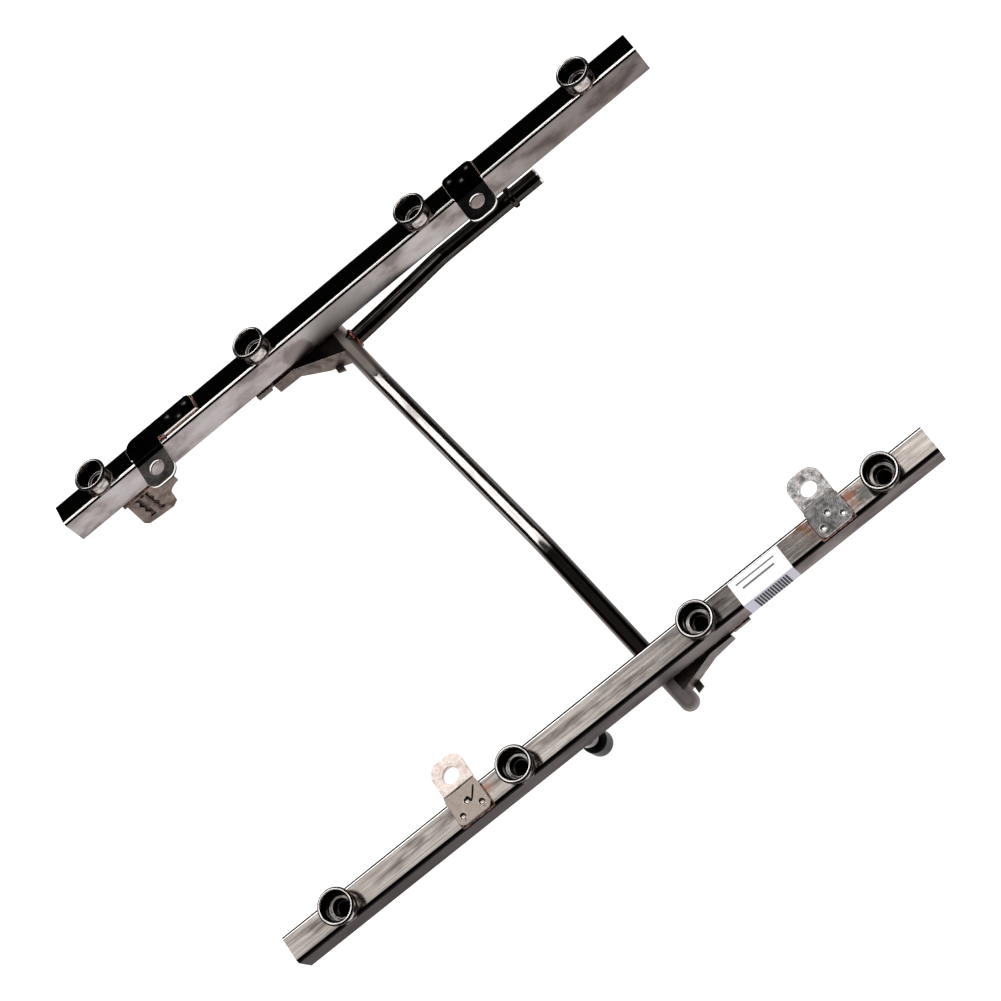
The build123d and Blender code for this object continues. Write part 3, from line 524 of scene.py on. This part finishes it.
def spunCup(bank, number, x):
    mesh = bmesh.new()
    parts = list(cupFinish)
    profile = [(point, order) for order, part in enumerate(parts) for point in cupShape[part]]
    verts = [mesh.verts.new((point[0], 0, point[1])) for point, order in profile]
    edges = [mesh.edges.new(pair) for pair in zip(verts, verts[1:] + verts[:1])]
    bmesh.ops.spin(mesh, geom=verts + edges, cent=(0, 0, 0), axis=(0, 0, 1), angle=2 * math.pi,
                   steps=cupShape["steps"], use_merge=True)
    bmesh.ops.remove_doubles(mesh, verts=mesh.verts, dist=cupShape["weld"])
    bands = [(Vector(first[0]), Vector(second[0]), first[1]) for first, second in zip(profile, profile[1:])]
    for face in mesh.faces:
        middle = face.calc_center_median()
        spot = Vector((math.hypot(middle.x, middle.y), middle.z))
        face.material_index = min(bands, key=lambda band: ((band[0] + band[1]) / 2 - spot).length)[2]
    bmesh.ops.transform(mesh, matrix=bankPlace(bank) @ Matrix.Translation((x, 0, 0)), verts=mesh.verts)
    piece = finishPiece(mesh, f"cup_{bank}{number}", [cupFinish[part] for part in parts], "cup_steel",
                        sharpAngle["turned"])
    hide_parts(f"injector_cup_{bank}{number}")


for bank in "ab":
    for number, x in enumerate(banks[bank]["cups"], 1):
        spunCup(bank, number, x)
print("stage 2: cups with rolled lips")


# Pressed sheet parts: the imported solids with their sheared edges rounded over, by this many millimetres.
# Corners are welded within weld metres; edges over sharpFrom degrees are rounded.
sheetRounding = {"weld": 2e-6, "flatTo": 1.0, "sharpFrom": 35, "segments": 3}
sheetEdges = {"bracket_a_left": (pickledSheet, 0.45, "bracket_zinc"),
              "bracket_a_right": (zincBright, 0.45, "bracket_zinc"),
              "bracket_b_left": (darkBracket, 0.8, "bracket_zinc"),
              "bracket_b_right": (blackBracket, 0.8, "bracket_zinc"),
              "crossover_gusset_a": (gussetSteel, 0.4, "gusset_steel"),
              "crossover_gusset_b": (gussetSteel, 0.4, "gusset_steel"),
              "harness_clip_plate": (clipSteel, 0.25, "clip_steel")}


def softenedSheet(node, material, edge, slot):
    look = sheetRounding
    mesh = bmesh.new()
    mesh.from_mesh(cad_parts[node].data)
    bmesh.ops.remove_doubles(mesh, verts=mesh.verts, dist=look["weld"])
    bmesh.ops.dissolve_limit(mesh, angle_limit=math.radians(look["flatTo"]), verts=mesh.verts, edges=mesh.edges)
    least = math.radians(look["sharpFrom"])
    sharp = [e for e in mesh.edges if len(e.link_faces) == 2 and e.calc_face_angle(0) > least]
    bmesh.ops.bevel(mesh, geom=sharp, offset=edge / 1000, offset_type="OFFSET", segments=look["segments"],
                    profile=0.5, affect="EDGES", clamp_overlap=True, material=-1)
    bmesh.ops.triangulate(mesh, faces=[f for f in mesh.faces if len(f.verts) > 4])
    piece = finishPiece(mesh, f"{node}_sheet", [material], slot, sharpAngle["sheet"])
    weighted = piece.modifiers.new("flatFaces", "WEIGHTED_NORMAL")
    weighted.keep_sharp = True
    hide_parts(node)


for node, (material, edge, slot) in sheetEdges.items():
    softenedSheet(node, material, edge, slot)
print("stage 3: pressed sheet parts")


# Braze ring at the foot of each cup: it climbs the stem and fills the gap over the rail's round edge.
# Radius and height pairs; the ring ends inset inside the rail's sides.
cupBraze = {"profile": ((6.98, -1.3), (6.98, 0.48), (7.58, 0.8), (7.676, 0.44), (7.9, 0.16), (8.38, -0.02),
                        (8.38, -1.3)), "steps": 64, "inset": 0.02}


def cupBrazeRings(bank):
    ring = bmesh.new()
    for x in banks[bank]["cups"]:
        part = bmesh.new()
        verts = [part.verts.new((r, 0, z)) for r, z in cupBraze["profile"]]
        edges = [part.edges.new(pair) for pair in zip(verts, verts[1:] + verts[:1])]
        bmesh.ops.spin(part, geom=verts + edges, cent=(0, 0, 0), axis=(0, 0, 1), angle=2 * math.pi,
                       steps=cupBraze["steps"], use_merge=True)
        for side in (-1, 1):
            cut = bmesh.ops.bisect_plane(part, geom=part.verts[:] + part.edges[:] + part.faces[:],
                                         plane_co=(0, side * (railWidth / 2 - cupBraze["inset"]), 0),
                                         plane_no=(0, side, 0), clear_outer=True)
            bmesh.ops.holes_fill(part, edges=[e for e in cut["geom_cut"] if isinstance(e, bmesh.types.BMEdge)])
        bmesh.ops.translate(part, verts=part.verts, vec=(x, 0, 0))
        temp = bpy.data.meshes.new("ring")
        part.to_mesh(temp)
        part.free()
        ring.from_mesh(temp)
        bpy.data.meshes.remove(temp)
    bmesh.ops.transform(ring, matrix=bankPlace(bank), verts=ring.verts)
    finishPiece(ring, f"cup_braze_{bank}", [scaledBraze], "cup_steel", sharpAngle["ring"])


cupBrazeRings("a")
cupBrazeRings("b")


def bead(mesh, points, radius, place, seed, closed=False, uneven=0.25):
    # a run of braze laid along points, of uneven thickness, added to the mesh
    curve = bpy.data.curves.new("bead", "CURVE")
    curve.dimensions = "3D"
    curve.bevel_depth = 1.0
    curve.bevel_resolution = 3
    curve.resolution_u = 6
    curve.use_fill_caps = True
    spline = curve.splines.new("NURBS")
    spline.points.add(len(points) - 1)
    chance = random.Random(seed)
    for point, spot in zip(spline.points, points):
        point.co = (*spot, 1.0)
        point.radius = radius * chance.uniform(1 - uneven, 1 + uneven)
    spline.order_u = 3
    spline.use_cyclic_u = closed
    spline.use_endpoint_u = not closed
    holder = bpy.data.objects.new("bead", curve)
    shape = bpy.data.meshes.new_from_object(holder)
    bpy.data.objects.remove(holder)
    bpy.data.curves.remove(curve)
    shape.transform(place)
    mesh.from_mesh(shape)
    bpy.data.meshes.remove(shape)


def filled(points, gap):
    # extra points on the straight runs, about a gap apart, so that the bead's thickness can wander
    out = []
    for first, second in zip(points, points[1:]):
        first, second = Vector(first), Vector(second)
        count = max(1, int((second - first).length / gap))
        out += [first.lerp(second, i / count) for i in range(count)]
    return out + [Vector(points[-1])]


# Braze round the bracket plates: bank, reach along the rail and edge towards the other bank. The strap
# has its own run, with a blob in the notch beside its tab.
plateBraze = {"plates": (("a", 71.85, 91.35, 5.6), ("a", 294.05, 313.55, 5.6), ("b", 251.37, 270.87, 5.6)),
              "outer": 6.9, "corner": 3.2, "radius": 0.5, "height": 0.12, "cornerHeight": -0.25,
              "outerHeight": -0.3, "gap": 1.6,
              "strap": (51.0, 74.4, 5.35), "strapTail": 31.0, "strapRadius": 0.75, "strapGap": 1.8,
              "notch": ((48.8, -5.2, 0.2), (49.7, -5.4, 0.9), (50.3, -5.5, 0.6), (51.1, -5.5, 0.1)),
              "notchRadius": 1.25, "seeds": {"plates": 11, "strap": 21, "notch": 22}}


def bracketBraze():
    look = plateBraze
    outer, corner = look["outer"], look["corner"]
    z, zCorner, zOuter = look["height"], look["cornerHeight"], look["outerHeight"]
    for bank in "ab":
        mesh = bmesh.new()
        sign = banks[bank]["outward"]
        for number, (owner, x0, x1, inner) in enumerate(look["plates"]):
            if owner != bank:
                continue
            path = [(x0, -sign * inner, z), (x0, sign * (outer - corner), z), (x0, sign * outer, zCorner),
                    (x0 + corner, sign * outer, zOuter), (x1 - corner, sign * outer, zOuter),
                    (x1, sign * outer, zCorner), (x1, sign * (outer - corner), z), (x1, -sign * inner, z)]
            bead(mesh, filled(path, look["gap"]), look["radius"], bankPlace(bank),
                 look["seeds"]["plates"] + number)
        if bank == "b":
            x0, x1, inner = look["strap"]
            path = [(x0, -inner, z), (x1 - 1.0, -inner, z), (x1 + 0.1, -inner, z), (x1 + 0.1, -inner + 1.2, z),
                    (x1 + 0.1, outer - corner, z), (x1, outer, zCorner), (x1 - corner, outer, zOuter),
                    (look["strapTail"], outer, zOuter)]
            bead(mesh, filled(path, look["strapGap"]), look["strapRadius"], bankPlace(bank),
                 look["seeds"]["strap"])
            bead(mesh, look["notch"], look["notchRadius"], bankPlace(bank), look["seeds"]["notch"])
        finishPiece(mesh, f"bracket_braze_{bank}", [brazeCopper], "bracket_zinc", sharpAngle["bead"])


bracketBraze()

# Braze where the gussets and the clip's foot meet the rails' undersides: x reach and y of each seam
seams = {"a": ((186.0, 242.0, 7.1), (186.0, 240.0, -7.1)),
         "b": ((102.0, 155.0, -7.1), (102.0, 155.0, 7.1), (6.5, 37.0, -7.2)),
         "height": -19.0, "gap": 2.5, "radius": 0.55, "uneven": 0.35, "seed": 31}


def railSeams():
    for bank in "ab":
        mesh = bmesh.new()
        for number, (x0, x1, y) in enumerate(seams[bank]):
            path = [(x0, y, seams["height"]), (x1, y, seams["height"])]
            bead(mesh, filled(path, seams["gap"]), seams["radius"], bankPlace(bank),
                 seams["seed"] + number, uneven=seams["uneven"])
        finishPiece(mesh, f"rail_seam_braze_{bank}", [brazeCopper], "gusset_steel", sharpAngle["bead"])


railSeams()

# Braze where the tubes meet: ring centre in the scene, the tube's direction there, ring and bead radius
joints = {"inlet_joint": {"at": (-7.6, 128.35, 27.63), "along": (0.994, 0.101, -0.039), "ring": 5.0, "bead": 1.2,
                          "metal": redBraze, "slot": "inlet_steel", "seed": 51},
          "crossover_collar": {"at": (-13.4, 133.4, 24.3), "along": (0.132, -0.991, 0.0), "ring": 5.1, "bead": 0.7,
                               "metal": zincBright, "slot": "tube_steel", "seed": 51}}
ringStep = 15  # degrees between the points of a ring


def jointRings():
    for name, joint in joints.items():
        mesh = bmesh.new()
        place = Matrix.Translation(Vector(joint["at"]) / 1000)
        place = place @ Vector(joint["along"]).to_track_quat("Z", "Y").to_matrix().to_4x4() @ Matrix.Scale(0.001, 4)
        ring = [(joint["ring"] * math.cos(math.radians(turn)), joint["ring"] * math.sin(math.radians(turn)), 0)
                for turn in range(0, 360, ringStep)]
        bead(mesh, ring, joint["bead"], place, joint["seed"], closed=True)
        finishPiece(mesh, name, [joint["metal"]], joint["slot"], sharpAngle["bead"])


jointRings()

# Tick-shaped stamp mark on the left bracket of bank a, beside its dimple, nearly black from the oil in it
tickMark = {"path": ((81.9, 3.6), (82.6, 4.1), (83.3, 3.0), (83.3, 0.9), (84.6, 1.9), (88.6, 6.9)), "height": 2.3,
            "radius": 0.52, "gap": 0.8, "uneven": 0.15, "seed": 41}
stampSteel = metalLook("stampedGroove", dict(oiledSheet, base="#1c1a19", dark="#121110", pale="#2a2726",
                                             roughness=(0.3, 0.5)))


def stampTick():
    mesh = bmesh.new()
    path = [(x, y, tickMark["height"]) for x, y in tickMark["path"]]
    bead(mesh, filled(path, tickMark["gap"]), tickMark["radius"], bankPlace("a"), tickMark["seed"],
         uneven=tickMark["uneven"])
    finishPiece(mesh, "stamp_tick", [stampSteel], "bracket_zinc", sharpAngle["bead"])


stampTick()
print("stage 4: braze runs and stamp mark")


# Studio: pale floor and soft overhead panels. The dark gaps between the panels draw the black lines
# in the metal. Each panel is low corner, high corner and radiance.
studio = {"floorSize": 6.0, "floorDrop": 0.0002, "floor": "#a5a4a3", "floorGlow": 0.85, "height": 2.0,
          "sky": 0.012, "fill": 0.8,
          "panels": {"leftPanel": ((-1.75, -0.6), (-0.17, 0.3), 1.35),
                     "middlePanel": ((-0.17, -0.6), (0.13, 0.3), 0.4),
                     "rightPanel": ((0.13, -0.6), (1.65, 0.3), 2.2),
                     "farLeft": ((-2.2, 0.72), (-0.11, 2.0), 2.4),
                     "farRight": ((-0.05, 0.72), (1.9, 2.0), 2.4)}}


def buildStudio():
    floor = bmesh.new()
    bmesh.ops.create_grid(floor, x_segments=1, y_segments=1, size=studio["floorSize"] / 2)
    bmesh.ops.translate(floor, verts=floor.verts, vec=(0, 0, -studio["floorDrop"]))
    data = bpy.data.meshes.new("studioFloor")
    floor.to_mesh(data)
    floor.free()
    material = bpy.data.materials.new("paperSweep")
    material.use_nodes = True
    tree = material.node_tree
    tree.nodes.clear()
    matt = addNode(tree, "ShaderNodeBsdfDiffuse", {"Color": hexColour(studio["floor"])})
    glow = addNode(tree, "ShaderNodeEmission", {"Color": hexColour("#ffffff"), "Strength": studio["floorGlow"]})
    sweep = addNode(tree, "ShaderNodeAddShader", {0: matt.outputs[0], 1: glow.outputs[0]})
    addNode(tree, "ShaderNodeOutputMaterial", {"Surface": sweep.outputs[0]})
    data.materials.append(material)
    floorObject = bpy.data.objects.new("studioFloor", data)
    bpy.context.scene.collection.objects.link(floorObject)

    for name, ((x0, y0), (x1, y1), radiance) in studio["panels"].items():
        light = bpy.data.lights.new(name, "AREA")
        light.shape = "RECTANGLE"
        light.size, light.size_y = x1 - x0, y1 - y0
        light.energy = radiance * math.pi * (x1 - x0) * (y1 - y0)
        lamp = bpy.data.objects.new(name, light)
        lamp.location = ((x0 + x1) / 2, (y0 + y1) / 2, studio["height"])
        bpy.context.scene.collection.objects.link(lamp)

    world = bpy.data.worlds.new("studioWorld")
    bpy.context.scene.world = world
    world.use_nodes = True
    tree = world.node_tree
    tree.nodes.clear()
    ray = addNode(tree, "ShaderNodeLightPath")
    strength = addNode(tree, "ShaderNodeMath", {0: ray.outputs["Is Diffuse Ray"], 1: studio["fill"],
                                                2: studio["sky"]}, 0, operation="MULTIPLY_ADD")
    strength = addNode(tree, "ShaderNodeMath", {0: ray.outputs["Is Camera Ray"], 1: strength}, 0, operation="MAXIMUM")
    sky = addNode(tree, "ShaderNodeBackground", {"Color": hexColour("#ffffff"), "Strength": strength}, 0)
    addNode(tree, "ShaderNodeOutputWorld", {"Surface": sky})
    world.cycles.sampling_method = "NONE"
    bpy.context.scene.view_settings.view_transform = "Standard"


# Camera fitted to the photograph: place, axes and lens
viewpoint = {"spot": (0.16873921, -0.72805698, 1.24561017), "right": (0.77004098, -0.49855105, -0.39810016),
             "down": (-0.62765507, -0.70386755, -0.33259522), "forward": (-0.11439409, 0.50598153, -0.85492496),
             "lens": 100.2737}


def placeCamera():
    data = bpy.data.cameras.new("photoCamera")
    data.sensor_width = 36.0
    data.sensor_height = 36.0
    data.sensor_fit = "HORIZONTAL"
    data.lens = viewpoint["lens"]
    data.clip_start = 0.05
    data.clip_end = 50.0
    camera = bpy.data.objects.new("photoCamera", data)
    bpy.context.scene.collection.objects.link(camera)
    axes = Matrix((viewpoint["right"], [-v for v in viewpoint["down"]], [-v for v in viewpoint["forward"]]))
    camera.matrix_world = Matrix.Translation(viewpoint["spot"]) @ axes.transposed().to_4x4()
    bpy.context.scene.camera = camera


buildStudio()
placeCamera()
print("stage 5: studio and camera")
